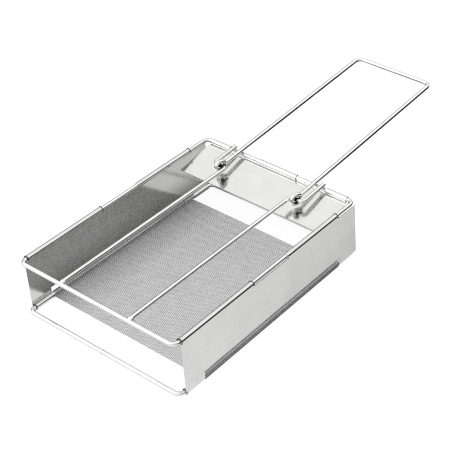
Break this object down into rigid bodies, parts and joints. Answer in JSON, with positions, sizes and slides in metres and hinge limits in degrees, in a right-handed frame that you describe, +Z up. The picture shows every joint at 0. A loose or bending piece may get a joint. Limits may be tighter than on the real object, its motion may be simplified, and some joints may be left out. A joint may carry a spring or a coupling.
{
  "type": "folding grill basket",
  "caption": "Folding camp grill basket: wire frames, hinged sheet side walls and back flap, woven floor, grate rods across the top and a swinging U-shaped wire handle.",
  "frame": {"origin": "on the surface that the basket stands on, midway between the two long lower wires and within a millimetre of the middle of the woven floor's underside", "axes": "+Z up, +Y from the open front towards the handle, +X to the right seen from the front"},
  "size_m": [0.1385, 0.3463, 0.0559],
  "materials": {
    "frame_wire": "polished stainless wire",
    "rod_wire": "polished stainless wire",
    "handle_wire": "polished stainless wire",
    "wall_sheet": "bright rolled stainless sheet, faint grain",
    "flap_sheet": "bright rolled stainless sheet, faint grain",
    "floor_mesh": "plain-woven stainless wire cloth",
    "weld": "bright resistance weld"
  },
  "bodies": {
    "base": {"bottom_frame": "frame_wire", "mesh_floor": "floor_mesh"},
    "left_wall": {"left_side_wall": "wall_sheet"},
    "right_wall": {"right_side_wall": "wall_sheet"},
    "top": {"top_frame": "frame_wire", "right_grate_rod": "rod_wire", "left_grate_rod": "rod_wire", "front_weld_beads": "weld", "rear_weld_beads": "weld"},
    "flap": {"back_flap": "flap_sheet"},
    "handle": {"handle": "handle_wire"}
  },
  "joints": [
    {"name": "fold", "type": "hinge", "parent": "base", "child": "left_wall", "pos_m": [-0.065, 0, 0.00245], "axis": [0, -1, 0], "range_deg": [-42, 31]},
    {"name": "right_wall_fold", "type": "hinge", "parent": "base", "child": "right_wall", "pos_m": [0.065, 0, 0.00245], "axis": [0, -1, 0], "range_deg": [-42, 31]},
    {"name": "top_level", "type": "hinge", "parent": "left_wall", "child": "top", "pos_m": [-0.06878, 0, 0.04109], "axis": [0, -1, 0], "range_deg": [-31, 42]},
    {"name": "flap_hinge", "type": "hinge", "parent": "top", "child": "flap", "pos_m": [-0.00378, 0.09455, 0.04109], "axis": [1, 0, 0], "range_deg": [0, 141]},
    {"name": "handle_hinge", "type": "hinge", "parent": "top", "child": "handle", "pos_m": [-0.00378, 0.07095, 0.0426], "axis": [1, 0, 0], "range_deg": [0, 175]}
  ],
  "couplings": [
    {"joint": "right_wall_fold", "follows": "fold", "ratio": 1},
    {"joint": "top_level", "follows": "fold", "ratio": -1}
  ]
}
